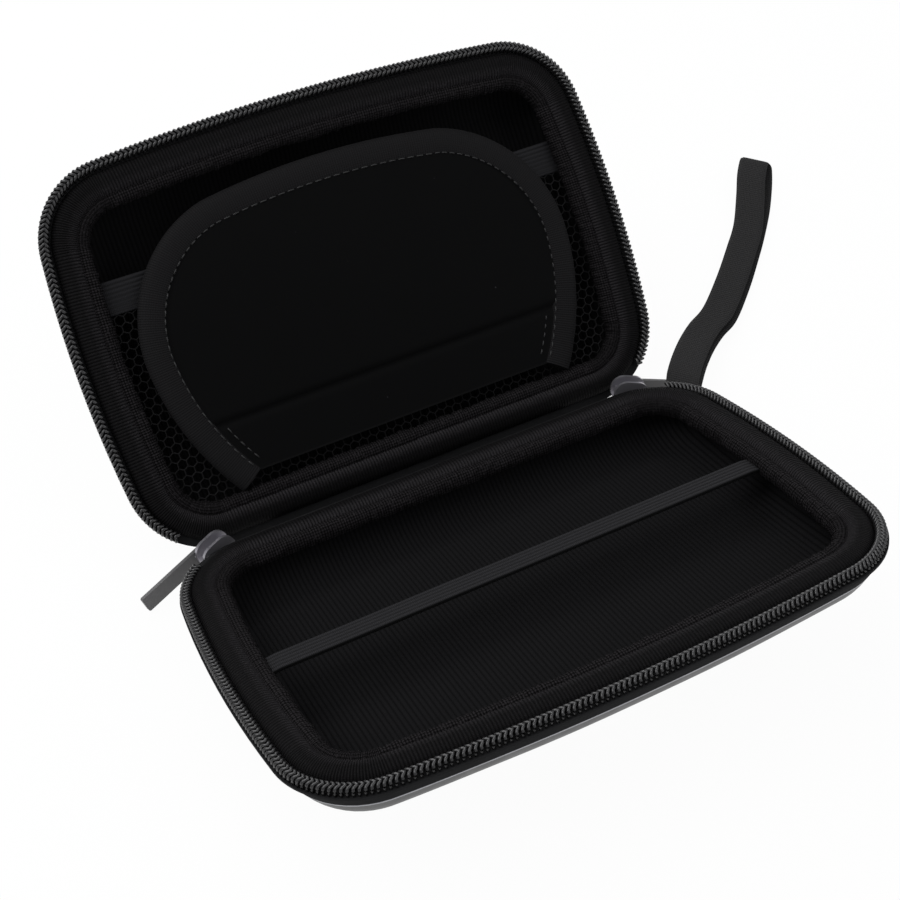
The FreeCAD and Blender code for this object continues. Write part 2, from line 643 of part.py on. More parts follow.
panel, panel_binding, hinge_panel = flap_pieces()
nodes = [
    placed(tray("base_shell", -1, "base_depth"), CASE),
    placed(zip_tape("base_zip_tape", -1), CASE),
    placed(loose("base_zip_teeth", teeth(-1)), CASE),
    placed(loose("base_binding", swept(roll_profile(), -1)), CASE),
    placed(loose("base_gathered_edge", swept(edge_profile(), -1)), CASE),
    placed(band("base_elastic"), CASE),
    placed(hinge_strip("hinge_strip"), CASE),
    placed(loose("left_slider", slider()), CASE.multiply(slider_frame(-1))),
    placed(loose("right_slider", slider()), CASE.multiply(slider_frame(1))),
    placed(loose("left_pull", pull_tab()), CASE.multiply(pull_frame(-1))),
    placed(loose("right_pull", pull_tab()), CASE.multiply(pull_frame(1))),
    loose("wrist_strap", wrist_loop()),
    placed(tray("lid_shell", 1, "lid_depth"), LID),
    placed(zip_tape("lid_zip_tape", 1), LID),
    placed(loose("lid_zip_teeth", teeth(1)), LID),
    placed(loose("lid_binding", swept(roll_profile(), 1)), LID),
    placed(loose("lid_gathered_edge", swept(edge_profile(), 1)), LID),
    placed(loose("lid_net", net()), LID),
    placed(loose("pocket_elastic", pocket_band()), LID),
    placed(loose("flap_panel", panel), LID),
    placed(loose("flap_binding", panel_binding), LID),
    placed(loose("flap_hinge_panel", hinge_panel), LID),
]

doc.recompute()
for item in doc.Objects:
    if "Invalid" in item.State or "Error" in item.State:
        raise RuntimeError(item.Label + " did not rebuild")
os.makedirs("parts", exist_ok=True)
for node in nodes:
    if node.Shape.isNull() or not node.Shape.isValid():
        raise RuntimeError(node.Label + " has no sound shape")
    node.Shape.exportStep(f"parts/{node.Label}.step")
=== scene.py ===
"""Looks of a zipped shell case for a handheld console.

Moulded trays, zip, rolled binding, padded screen flap, net pocket and wrist loop.
"""

import json
import math

import bpy
import numpy as np
from mathutils import Matrix, Vector, noise


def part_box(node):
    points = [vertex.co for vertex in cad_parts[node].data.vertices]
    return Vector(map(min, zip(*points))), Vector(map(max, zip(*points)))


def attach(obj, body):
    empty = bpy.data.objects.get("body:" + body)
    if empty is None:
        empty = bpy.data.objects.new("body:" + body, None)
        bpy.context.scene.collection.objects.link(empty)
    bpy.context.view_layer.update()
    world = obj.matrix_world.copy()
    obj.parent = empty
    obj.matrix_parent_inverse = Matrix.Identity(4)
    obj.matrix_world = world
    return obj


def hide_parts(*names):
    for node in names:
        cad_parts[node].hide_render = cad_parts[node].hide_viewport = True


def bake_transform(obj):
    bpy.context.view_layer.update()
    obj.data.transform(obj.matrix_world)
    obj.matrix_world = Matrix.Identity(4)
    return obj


bl_info = {
    "name": "Console Case Looks",
    "version": (1, 0, 0),
    "blender": (4, 5, 0),
    "location": "3D View > Sidebar > Case",
    "description": "Builds the cloth, zip, binding, flap, net and strap of an open carrying case",
    "category": "Add Mesh",
}

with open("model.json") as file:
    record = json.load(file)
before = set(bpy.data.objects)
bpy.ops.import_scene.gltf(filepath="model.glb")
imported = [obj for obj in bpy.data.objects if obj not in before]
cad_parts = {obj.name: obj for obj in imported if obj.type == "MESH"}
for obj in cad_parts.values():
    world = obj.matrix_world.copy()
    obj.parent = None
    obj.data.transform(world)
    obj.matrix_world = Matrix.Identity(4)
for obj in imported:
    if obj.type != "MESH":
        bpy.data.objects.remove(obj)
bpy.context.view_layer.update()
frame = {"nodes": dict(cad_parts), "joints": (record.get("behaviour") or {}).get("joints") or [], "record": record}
RECORD = frame["record"]
MM = 0.001


def joint(name):
    return next(j for j in frame["joints"] if j["name"] == name)


# The case frame has its parting plane at height 0; the open case leans back in the row frame.
UNDERSIDE = Vector(next(m for m in RECORD["mounts"] if m["name"] == "underside")["axis"])
LEAN = math.atan2(-UNDERSIDE.y, -UNDERSIDE.z)
BASE_DEPTH = 20.0
CASE = Matrix.Rotation(-LEAN, 4, "X") @ Matrix.Translation((0, 0, BASE_DEPTH * MM))
HINGE = Vector(joint("lid_hinge")["pos_m"])
OPEN = math.radians(joint("lid_hinge")["range_deg"][1])
LID = Matrix.Translation(HINGE) @ Matrix.Rotation(-OPEN, 4, "X") @ Matrix.Translation(-HINGE) @ CASE
GROUND = min(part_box("base_shell")[0].z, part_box("lid_shell")[0].z)


def length(name, text, value):
    return bpy.props.FloatProperty(name=name, description=text, default=value * MM, min=0.0, unit="LENGTH")


def colour(name, text, value):
    return bpy.props.FloatVectorProperty(name=name, description=text, default=value, min=0.0, max=1.0,
                                         size=3, subtype="COLOR")


class CaseSizes(bpy.types.PropertyGroup):
    """Sizes of the sewn and moulded parts, in the case's own frame."""

    half_width: length("Half width", "Outline's half width at the zip", 89.0)
    front_reach: length("Front reach", "Outline's reach to the front", 62.6)
    hinge_reach: length("Hinge reach", "Outline's reach to the hinge side", 57.5)
    side_radius: length("Side radius", "Bow of the two short sides", 360.0)
    front_radius: length("Front radius", "Bow of the front", 700.0)
    corner_radius: length("Corner radius", "Radius of the four corners", 25.0)
    set_out: length("Hinge set-out", "How far the binding moves out along the hinge", 1.2)
    base_depth: length("Base depth", "Parting plane to the base's underside", BASE_DEPTH)
    lid_depth: length("Lid depth", "Parting plane to the lid's outside", 22.0)
    shell_top: length("Shell top", "Parting plane to each shell's top edge", 3.9)
    shell_inset: length("Shell inset", "Shell's top edge in from the zip's outside", 0.6)
    shell_wall: length("Shell wall", "Thickness of foam and facings", 3.4)
    shell_fillet: length("Shell rounding", "Outside radius of the bottom edge", 18.0)
    tape_drop: length("Tape level", "Parting plane to the zip tape", 3.3)
    coil_pitch: length("Coil pitch", "Distance between zip teeth", 1.5)
    coil_width: length("Coil width", "Width of one row of the zip's coil", 2.5)
    coil_wire: length("Coil wire", "Radius of the coil's monofilament", 0.46)
    rib_pitch: length("Binding rib pitch", "Distance between the ribs of the binding", 0.95)
    stripe_pitch: length("Lining stripe pitch", "Distance between the lining's stripes", 1.4)
    band_width: length("Base band width", "Width of the elastic across the tray", 6.5)
    band_drop: length("Base band drop", "Parting plane to the elastic across the tray", 4.05)
    net_height: length("Net height", "Parting plane to the net", 6.0)
    net_mouth: length("Net mouth", "Net's mouth, towards the front from the middle", 16.0)
    net_cell: length("Net cell", "Width of one six-sided hole and its thread", 2.9)
    net_thread: length("Net thread", "Thickness of the net's thread", 0.5)
    flap_height: length("Flap height", "Parting plane to the flap's inner face", 1.0)
    flap_wall: length("Flap wall", "Thickness of the padded flap", 3.2)
    flap_binding: length("Flap binding", "Width of the knit binding round the flap", 8.5)
    crease: length("Crease", "Flap's crease, towards the hinge from the middle", 23.5)
    strap_width: length("Strap width", "Width of the wrist loop's webbing", 10.5)
    strap_wall: length("Strap wall", "Thickness of the wrist loop's webbing", 1.0)
    strap_rib: length("Strap rib pitch", "Distance between the webbing's ribs", 1.05)


class CaseColours(bpy.types.PropertyGroup):
    """Base colours of the case's finishes."""

    shell: colour("Shell", "Moulded outside", (0.0060, 0.0060, 0.0065))
    lining: colour("Lining", "Striped knit inside", (0.0040, 0.0039, 0.0042))
    tape: colour("Tape", "Zip tape", (0.0085, 0.0085, 0.0090))
    teeth: colour("Teeth", "Zip coil", (0.0100, 0.0096, 0.0100))
    binding: colour("Binding", "Ribbed rolled binding", (0.0066, 0.0061, 0.0066))
    gathers: colour("Gathers", "Crimped edge inside the binding", (0.0042, 0.0038, 0.0041))
    elastic: colour("Elastic", "Ribbed elastic", (0.0078, 0.0076, 0.0086))
    slider: colour("Slider", "Die-cast sliders", (0.36, 0.35, 0.38))
    pull: colour("Pull", "Pull tabs", (0.105, 0.103, 0.104))
    webbing: colour("Webbing", "Wrist loop", (0.0118, 0.0114, 0.0116))
    net: colour("Net", "Pocket net", (0.0060, 0.0057, 0.0060))
    flap: colour("Flap", "Smooth cloth of the flap", (0.0021, 0.0021, 0.0022))
    flap_binding: colour("Flap binding", "Stretch knit round the flap", (0.0054, 0.0051, 0.0055))
    thread: colour("Thread", "Sewing thread", (0.0075, 0.0072, 0.0075))
    floor: colour("Floor", "Floor and backdrop", (0.80, 0.80, 0.80))


def sizes():
    return bpy.context.scene.case_sizes


def colours():
    return bpy.context.scene.case_colours


# Shader building


class Shades:
    """A material and short ways to add nodes to it."""

    def __init__(self, name, tint, roughness, specular=0.5, metallic=0.0, sheen=0.0, sheen_roughness=0.5):
        self.material = bpy.data.materials.new(name)
        self.material.use_nodes = True
        self.tree = self.material.node_tree
        self.shader = self.tree.nodes["Principled BSDF"]
        self.tint = tuple(tint)
        self.set("Base Color", (*self.tint, 1.0))
        self.set("Roughness", roughness)
        self.set("Specular IOR Level", specular)
        self.set("Metallic", metallic)
        self.set("Sheen Weight", sheen)
        self.set("Sheen Roughness", sheen_roughness)

    def set(self, socket, value):
        self.shader.inputs[socket].default_value = value

    def add(self, kind, inputs=(), **settings):
        node = self.tree.nodes.new(kind)
        for key, value in settings.items():
            setattr(node, key, value)
        for key, value in dict(inputs).items():
            self.join(value, node.inputs[key])
        return node

    def join(self, value, socket):
        if isinstance(value, bpy.types.NodeSocket):
            self.tree.links.new(value, socket)
        else:
            socket.default_value = value

    def math(self, operation, first, second=0.0, third=0.0):
        node = self.add("ShaderNodeMath", operation=operation)
        for value, socket in zip((first, second, third), node.inputs):
            self.join(value, socket)
        return node.outputs[0]

    def run(self):
        """The two distances along and across the cloth, in metres."""
        cloth = self.add("ShaderNodeUVMap", uv_map="run").outputs[0]
        split = self.add("ShaderNodeSeparateXYZ", {"Vector": cloth})
        return split.outputs[0], split.outputs[1]

    def place(self):
        return self.add("ShaderNodeTexCoord").outputs["Object"]

    def place_x(self):
        return self.add("ShaderNodeSeparateXYZ", {"Vector": self.place()}).outputs[0]

    def ribs(self, distance, pitch, sharpness=1.0):
        """A rounded rib for every pitch of distance, from 0 to 1."""
        turn = self.math("MULTIPLY", distance, math.pi / pitch)
        rib = self.math("ABSOLUTE", self.math("SINE", turn))
        return rib if sharpness == 1.0 else self.math("POWER", rib, sharpness)

    def span(self, value, start, end, low=0.0, high=1.0):
        """Value brought from start..end to low..high and held there."""
        limits = {"From Min": start, "From Max": end, "To Min": low, "To Max": high}
        node = self.add("ShaderNodeMapRange", limits)
        self.join(value, node.inputs["Value"])
        return node.outputs[0]

    def noise(self, scale, detail=2.0, vector=None):
        node = self.add("ShaderNodeTexNoise", {"Scale": scale, "Detail": detail})
        self.join(self.place() if vector is None else vector, node.inputs["Vector"])
        return node.outputs["Fac"]

    def bump(self, height, depth, strength=1.0):
        node = self.add("ShaderNodeBump", {"Strength": strength, "Distance": depth, "Height": height})
        if self.shader.inputs["Normal"].is_linked:
            before = self.shader.inputs["Normal"].links[0].from_socket
            self.tree.links.new(before, node.inputs["Normal"])
        self.tree.links.new(node.outputs["Normal"], self.shader.inputs["Normal"])

    def vary(self, factor, dark, light):
        """Base colour from dark to light times the tint as factor goes from 0 to 1."""
        mix = self.add("ShaderNodeMix", data_type="RGBA")
        self.join(factor, mix.inputs[0])
        mix.inputs[6].default_value = (*(c * dark for c in self.tint), 1.0)
        mix.inputs[7].default_value = (*(min(1.0, c * light) for c in self.tint), 1.0)
        self.tree.links.new(mix.outputs[2], self.shader.inputs["Base Color"])

    def rough(self, factor, low, high):
        node = self.add("ShaderNodeMapRange", {"To Min": low, "To Max": high})
        self.join(factor, node.inputs["Value"])
        self.tree.links.new(node.outputs[0], self.shader.inputs["Roughness"])


MADE = {}


def finish(name):
    """The material called name, made once."""
    if name not in MADE:
        MADE[name] = FINISHES[name]()
    return MADE[name]


def shell_finish():
    """Tight cloth on the foam: matt by the zip, a painted highlight line where the pressing starts, satin below
    it.
    """
    s = Shades("pressed_shell", colours().shell, 0.4, 0.38)
    _, across = s.run()
    pressed = s.span(across, 4.6 * MM, 5.2 * MM)
    # edge masks a painted highlight: a pale line 0.76 mm wide, 5.5 mm down from the top edge, standing in for the
    # reflection along the pressed edge
    edge = s.math("COMPARE", across, 5.5 * MM, 0.38 * MM)
    s.bump(s.noise(2600.0, 3.0), 0.00005, 0.5)
    # base colour: the painted highlight line, many times the tint, over faint random tone
    s.vary(s.math("MULTIPLY_ADD", edge, 0.9, s.math("MULTIPLY", s.noise(90.0, 3.0), 0.02)), 0.8, 60.0)
    s.rough(s.math("MULTIPLY", pressed, s.math("MULTIPLY_ADD", s.noise(260.0, 4.0), -0.3, 1.0)), 0.86, 0.34)
    s.tree.links.new(s.span(pressed, 0.0, 1.0, 0.06, 0.42), s.shader.inputs["Specular IOR Level"])
    return s.material


def lining_finish():
    """Brushed knit with fine dark stripes from front to back."""
    s = Shades("striped_lining", colours().lining, 0.92, 0.06, sheen=0.02, sheen_roughness=0.4)
    stripes = s.ribs(s.place_x(), sizes().stripe_pitch, 0.7)
    fuzz = s.noise(1500.0, 4.0)
    s.vary(s.math("MULTIPLY", stripes, s.math("MULTIPLY_ADD", fuzz, 0.7, 0.6)), 0.45, 1.75)
    s.bump(stripes, 0.00018, 0.9)
    s.bump(fuzz, 0.00008, 0.6)
    return s.material


def tape_finish():
    """Fine woven tape."""
    s = Shades("zip_tape", colours().tape, 0.8, 0.12, sheen=0.02)
    weave = s.noise(1900.0, 2.0)
    s.vary(weave, 0.6, 1.6)
    s.bump(weave, 0.0001, 0.8)
    return s.material


def teeth_finish():
    """Smooth moulded coil."""
    s = Shades("zip_coil", colours().teeth, 0.26, 0.6)
    s.vary(s.noise(700.0, 2.0), 0.7, 1.4)
    return s.material


def binding_finish():
    """Ribbed woven nylon with tiny light flecks where the yarn turns over, and painted shade on the roll's outer
    face.
    """
    s = Shades("ribbed_binding", colours().binding, 0.62, 0.055, sheen=0.006, sheen_roughness=0.35)
    along, across = s.run()
    ribs = s.ribs(along, sizes().rib_pitch, 0.8)
    yarn = s.ribs(across, 0.42 * MM, 0.6)
    fleck = s.math("MULTIPLY", s.math("GREATER_THAN", s.noise(2400.0, 2.0), 0.62), 0.9)
    tone = s.math("MULTIPLY_ADD", ribs, s.math("MULTIPLY_ADD", yarn, 0.6, 0.4), fleck)
    # painted shade: the roll's outer face, up to 5.4 mm across from the zip, is darkened to 0.16 of the colour,
    # coming back to full by 9 mm past the crest
    s.vary(s.math("MULTIPLY", tone, s.span(across, 5.4 * MM, 9.0 * MM, 0.16, 1.0)), 0.22, 3.8)
    s.bump(ribs, 0.00022, 1.0)
    s.bump(yarn, 0.00007, 0.7)
    return s.material


def gathers_finish():
    """Crimped edge of the lining, a little lighter than the binding."""
    s = Shades("crimped_edge", colours().gathers, 0.7, 0.04, sheen=0.005, sheen_roughness=0.4)
    along, across = s.run()
    crimp = s.ribs(along, 0.8 * MM, 0.7)
    yarn = s.ribs(across, 0.85 * MM, 0.8)
    fleck = s.math("GREATER_THAN", s.noise(1900.0, 3.0), 0.6)
    knot = s.math("POWER", s.math("MULTIPLY", crimp, yarn), 1.5)
    s.vary(s.math("MULTIPLY_ADD", fleck, 0.7, knot), 0.2, 4.4)
    s.bump(crimp, 0.00028, 1.0)
    s.bump(s.noise(1100.0, 3.0), 0.00022, 0.9)
    return s.material


def elastic_finish():
    """Elastic with cords along it and a fine crosswise weave."""
    s = Shades("ribbed_elastic", colours().elastic, 0.7, 0.14, sheen=0.02)
    along, across = s.run()
    cords = s.ribs(across, 1.3 * MM, 0.6)
    weave = s.ribs(along, 0.5 * MM, 0.8)
    s.vary(s.math("MULTIPLY", cords, s.math("MULTIPLY_ADD", weave, 0.6, 0.4)), 0.15, 1.9)
    s.bump(weave, 0.00007, 0.7)
    return s.material


def slider_finish():
    """Light lacquered casting."""
    s = Shades("slider_casting", colours().slider, 0.3, 0.5, metallic=0.85)
    s.rough(s.noise(420.0, 3.0), 0.22, 0.42)
    s.vary(s.noise(150.0, 2.0), 0.85, 1.1)
    return s.material


def pull_finish():
    """Satin grey lacquer on a pressed tab."""
    s = Shades("pull_lacquer", colours().pull, 0.42, 0.5, metallic=0.35)
    s.rough(s.noise(600.0, 3.0), 0.34, 0.5)
    s.bump(s.noise(1800.0, 2.0), 0.00003, 0.4)
    return s.material


def webbing_finish():
    """Coarse webbing: strong ribs across and fine yarns along."""
    s = Shades("strap_webbing", colours().webbing, 0.66, 0.12, sheen=0.02)
    along, across = s.run()
    ribs = s.ribs(along, sizes().strap_rib, 0.9)
    yarn = s.ribs(across, 0.55 * MM, 0.8)
    s.vary(s.math("MULTIPLY", ribs, s.math("MULTIPLY_ADD", yarn, 0.4, 0.6)), 0.45, 1.6)
    s.bump(yarn, 0.0001, 0.7)
    return s.material


def net_finish():
    s = Shades("net_thread", colours().net, 0.6, 0.12, sheen=0.01)
    s.vary(s.noise(1500.0, 2.0), 0.6, 1.7)
    return s.material


def flap_finish():
    """Very smooth matt cloth with a little lint."""
    s = Shades("flap_cloth", colours().flap, 0.74, 0.05, sheen=0.003, sheen_roughness=0.5)
    lint = s.add("ShaderNodeTexVoronoi", {"Vector": s.place(), "Scale": 210.0, "Randomness": 1.0})
    speck = s.math("LESS_THAN", lint.outputs["Distance"], 0.045)
    chosen = s.math("GREATER_THAN", s.noise(61.0, 0.0), 0.62)
    cloudy = s.math("MULTIPLY", s.noise(40.0, 3.0), 0.02)
    s.vary(s.math("ADD", cloudy, s.math("MULTIPLY", speck, chosen)), 0.9, 14.0)
    s.bump(s.noise(2300.0, 2.0), 0.00003, 0.4)
    return s.material


def flap_binding_finish():
    """Stretch knit, ribbed across its run."""
    s = Shades("knit_binding", colours().flap_binding, 0.72, 0.1, sheen=0.02, sheen_roughness=0.4)
    along, across = s.run()
    ribs = s.ribs(along, 0.75 * MM, 0.8)
    rows = s.ribs(across, 0.7 * MM, 0.8)
    s.vary(s.math("MULTIPLY", ribs, s.math("MULTIPLY_ADD", rows, 0.4, 0.6)), 0.55, 1.5)
    s.bump(ribs, 0.0001, 0.8)
    s.bump(rows, 0.00005, 0.6)
    return s.material


def thread_finish():
    s = Shades("sewing_thread", colours().thread, 0.5, 0.4, sheen=0.05)
    s.vary(s.noise(1800.0, 2.0), 0.6, 1.5)
    return s.material


FINISHES = {
    "shell": shell_finish, "lining": lining_finish, "tape": tape_finish, "teeth": teeth_finish,
    "binding": binding_finish, "gathered_edge": gathers_finish, "elastic": elastic_finish,
    "slider_metal": slider_finish, "pull_metal": pull_finish, "webbing": webbing_finish, "net": net_finish,
    "flap_cloth": flap_finish, "flap_binding": flap_binding_finish, "thread": thread_finish,
}


# Mesh building


def new_piece(name, points, faces, place, slot, body, run=None, material=None):
    """A smooth mesh piece from points moved by place; run is the cloth's own distances, per face corner."""
    mesh = bpy.data.meshes.new(name)
    mesh.from_pydata([tuple(p) for p in points], [], [tuple(int(k) for k in face) for face in faces])
    if run is not None:
        mesh.uv_layers.new(name="run").data.foreach_set("uv", np.asarray(run, float).ravel())
    mesh.polygons.foreach_set("use_smooth", [True] * len(mesh.polygons))
    mesh.transform(place)
    mesh.materials.append(finish(material or slot))
    mesh.update()
    piece = bpy.data.objects.new(name, mesh)
    bpy.context.scene.collection.objects.link(piece)
    if body:
        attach(piece, body)
    return piece


def grid(points, run, wrap=False, closed=False, flip=False):
    """Points, faces and corner runs of a quad grid; wrap joins its rows into a ring, closed its columns."""
    rows, cols = points.shape[:2]
    index = np.arange(rows * cols).reshape(rows, cols)
    number = np.arange((rows + wrap) * (cols + closed)).reshape(rows + wrap, cols + closed)
    if wrap:
        index = np.vstack([index, index[:1]])
    if closed:
        index = np.hstack([index, index[:, :1]])

    def quads(table):
        a, b, c, d = table[:-1, :-1], table[1:, :-1], table[1:, 1:], table[:-1, 1:]
        four = np.stack([a, b, c, d], -1).reshape(-1, 4)
        return four[:, ::-1] if flip else four

    return points.reshape(-1, 3), quads(index), run.reshape(-1, 2)[quads(number).ravel()]


def smooth_line(points, steps):
    """A Catmull-Rom line through the points, with steps spans between each two."""
    points = np.asarray(points, float)
    ends = np.vstack([2 * points[0] - points[1], points, 2 * points[-1] - points[-2]])
    t = np.linspace(0, 1, steps, endpoint=False)[:, None]
    spans = [0.5 * (2 * p1 + (p2 - p0) * t + (2 * p0 - 5 * p1 + 4 * p2 - p3) * t**2
                    + (3 * p1 - p0 - 3 * p2 + p3) * t**3)
             for p0, p1, p2, p3 in zip(ends, ends[1:], ends[2:], ends[3:])]
    return np.vstack(spans + [points[-1:]])


def runs(points):
    """Distance travelled along a line of points."""
    return np.concatenate([[0.0], np.cumsum(np.linalg.norm(np.diff(points, axis=0), axis=1))])


def rim_arcs(set_out=0.0):
    """The rim from the middle of the hinge side, anticlockwise: (centre, radius, start, end) of each arc."""
    s = sizes()
    hinge, corner = s.hinge_reach + set_out, s.corner_radius
    side_x, front_y = s.half_width - s.side_radius, s.front_radius - s.front_reach
    to_side, to_front = s.side_radius - corner, s.front_radius - corner
    back_y = hinge - corner
    back_x = side_x + math.sqrt(to_side**2 - back_y**2)
    apart = math.hypot(side_x, front_y)
    along = (to_side**2 - to_front**2 + apart**2) / (2 * apart)
    across = math.sqrt(to_side**2 - along**2)
    fore_x = side_x + along * -side_x / apart + across * front_y / apart
    fore_y = along * front_y / apart + across * side_x / apart
    back = math.atan2(back_y, back_x - side_x)
    fore = math.atan2(fore_y, fore_x - side_x)
    front = math.atan2(fore_y - front_y, fore_x)
    pi = math.pi
    return back_x, [
        ((-back_x, back_y), corner, pi / 2, pi - back),
        ((-side_x, 0.0), s.side_radius, pi - back, pi - fore),
        ((-fore_x, fore_y), corner, pi - fore, pi - front),
        ((0.0, front_y), s.front_radius, -pi - front, front),
        ((fore_x, fore_y), corner, front, fore),
        ((side_x, 0.0), s.side_radius, fore, back),
        ((back_x, back_y), corner, back, pi / 2),
    ]


class Rim:
    """Evenly spaced stations round the rim: a point at inset zero, the way out, and the distance run."""

    def __init__(self, step, set_out=0.0):
        back_x, arcs = rim_arcs(set_out)
        hinge = sizes().hinge_reach + set_out
        total = 2 * back_x + sum(r * (b - a) for _, r, a, b in arcs)
        self.count = round(total / step)
        self.total = total
        self.run = np.arange(self.count + 1) * total / self.count
        base, out = [], []
        for d in self.run[:-1]:
            if d <= back_x or d >= total - back_x:
                x = -d if d <= back_x else total - d
                base.append((x, hinge))
                out.append((0.0, 1.0))
                continue
            left = d - back_x
            for (x, y), r, a, b in arcs:
                if left <= r * (b - a) + 1e-9:
                    turn = a + left / r
                    base.append((x + r * math.cos(turn), y + r * math.sin(turn)))
                    out.append((math.cos(turn), math.sin(turn)))
                    break
                left -= r * (b - a)
        self.base, self.out = np.array(base), np.array(out)

    def sweep(self, section, up, proud=None):
        """Carry a section of (inset, drop) points round the rim; proud moves each point off the surface."""
        inset, drop = section[:, 0], section[:, 1]
        if proud is not None:
            tangent = np.gradient(section, axis=0)
            tangent /= np.linalg.norm(tangent, axis=1)[:, None]
            inset = inset[None, :] + proud * tangent[:, 1][None, :]
            drop = drop[None, :] - proud * np.abs(tangent[:, 0])[None, :]
        else:
            inset = np.broadcast_to(inset, (self.count, len(section)))
            drop = np.broadcast_to(drop, (self.count, len(section)))
        xy = self.base[:, None, :] - self.out[:, None, :] * inset[:, :, None]
        points = np.concatenate([xy, (up * drop)[:, :, None]], axis=2)
        across = runs(section)
        run = np.stack(np.meshgrid(self.run, across, indexing="ij"), -1)
        return grid(points, run, wrap=True, flip=up > 0)


# Each half's body, with the way its depth goes from the parting plane.
HALVES = {"base": -1, "lid": 1}
DRAFT = 30
WALL_POINTS = 5
ROUNDING_POINTS = 15


def place_of(body):
    return CASE if body == "base" else LID


def shell_line(body, wall):
    """Section of a shell surface that stands in by wall, from its top edge to the flat: (inset, drop)."""
    s = sizes()
    depth = s.base_depth if body == "base" else s.lid_depth
    draft = math.radians(DRAFT)
    start = depth - s.shell_fillet * (1 - math.sin(draft))
    centre = s.shell_inset + (start - s.shell_top) * math.tan(draft) + s.shell_fillet * math.cos(draft)
    radius = s.shell_fillet - wall
    line = [(s.shell_inset + wall / math.cos(draft), s.shell_top)]
    turns = np.linspace(draft, math.pi / 2, ROUNDING_POINTS)
    arc = [(centre - radius * math.cos(t), depth - s.shell_fillet + radius * math.sin(t)) for t in turns]
    first = np.array(line[0])
    wall_line = [tuple(first + (np.array(arc[0]) - first) * k / WALL_POINTS) for k in range(WALL_POINTS)]
    return np.array(wall_line + arc + [(centre + 1.5 * MM, depth - wall)])


def tray_surface(name, body, wall, slot, seed):
    """One side of a moulded tray: swept wall and rounding, closed by a flat."""
    up = HALVES[body]
    rim = Rim(3.0 * MM)
    line = shell_line(body, wall)
    points, faces, run = rim.sweep(line, up)
    cols = len(line)
    points = points.copy()
    waves, steady = 0.22 * MM, 8
    for k, p in enumerate(points):
        soft = noise.noise(Vector(p) * 38 + Vector((seed, 0, 0))) * waves
        points[k] = p - np.array([0, 0, up * soft * min(1.0, (k % cols) / steady)])
    flat = [k * cols + cols - 1 for k in range(rim.count)]
    faces = [tuple(f) for f in faces] + [tuple(flat if up < 0 else flat[::-1])]
    # one metre added keeps the flat's run clear of the matt band and the painted highlight line that the finish
    # lays near the top edge
    run = np.vstack([run, points[flat][:, :2] + 1.0])
    return new_piece(name, points, faces, place_of(body), slot, body, run)


class CASE_OT_shells(bpy.types.Operator):
    """Moulded outsides and striped linings of base and lid"""

    bl_idname = "case.shells"
    bl_label = "Shells and linings"

    def execute(self, context):
        s = sizes()
        for body in HALVES:
            outside = tray_surface(f"{body}_outside", body, 0.0, "shell", 1)
            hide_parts(f"{body}_shell")
            inside = tray_surface(f"{body}_lining", body, s.shell_wall, "shell", 2)
            inside.data.materials[0] = finish("lining")
        return {"FINISHED"}


def overlap_step(run, total):
    """Extra thickness where the binding tape's end laps over its start."""
    lap = 11.0 * MM
    return np.clip((run - (total - lap)) / lap, 0, 1) ** 0.3 * 0.16 * MM


class CASE_OT_bindings(bpy.types.Operator):
    """Rolled ribbed bindings and the gathered edges inside them"""

    bl_idname = "case.bindings"
    bl_label = "Bindings"

    ROLL = [(3.7, 3.35), (4.0, 2.3), (4.9, 1.15), (6.4, 0.55), (8.2, 0.3), (9.6, 0.55), (10.6, 1.4),
            (11.05, 2.8), (11.0, 5.9)]
    GATHERS = [(10.6, 1.9), (11.4, 1.45), (12.6, 1.3), (13.7, 1.75), (14.5, 2.9), (14.7, 4.3), (14.3, 5.6)]

    def execute(self, context):
        s = sizes()
        for body, up in HALVES.items():
            self.roll(body, up, s)
            self.gathers(body, up, s)
        return {"FINISHED"}

    def roll(self, body, up, s):
        rim = Rim(s.rib_pitch / 4, s.set_out)
        section = smooth_line(np.array(self.ROLL) * MM, 2)
        rib = np.abs(np.sin(math.pi * rim.run[:-1] / s.rib_pitch))
        sag = np.array([noise.noise(Vector((d * 60, 3.0 * up, 0))) for d in rim.run[:-1]])
        proud = (rib - 0.7) * 0.09 * MM + sag * 0.12 * MM + overlap_step(rim.run[:-1], rim.total)
        proud = np.minimum(proud, 0.2 * MM)
        shape = np.broadcast_to(proud[:, None], (rim.count, len(section))).copy()
        shape[:, :2] *= 0.3
        points, faces, run = rim.sweep(section, up, shape)
        piece = new_piece(f"{body}_rolled_binding", points, faces, place_of(body), "binding", body, run)
        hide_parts(f"{body}_binding")

    def gathers(self, body, up, s):
        rim = Rim(0.45 * MM, s.set_out)
        section = smooth_line(np.array(self.GATHERS) * MM, 3)
        along = rim.run[:-1]
        across = runs(section)
        wander = np.array([noise.noise(Vector((d * 90, 7.0 * up, 0))) for d in along])
        phase = along * 2 * math.pi / (2.3 * MM)
        crimp = np.sin(phase[:, None] + 5 * wander[:, None] + across[None, :] * 500)
        coarse = np.array([[noise.noise(Vector((d * 420, a * 420, 11.0 * up))) for a in across]
                           for d in along])
        fade = np.linspace(0.3, 1.0, len(section))[None, :]
        proud = (0.20 * crimp + 0.55 * coarse + 0.45 * wander[:, None]) * MM * fade
        points, faces, run = rim.sweep(section, up, np.minimum(proud, 0.45 * MM))
        piece = new_piece(f"{body}_crimped_edge", points, faces, place_of(body), "gathered_edge", body, run)
        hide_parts(f"{body}_gathered_edge")


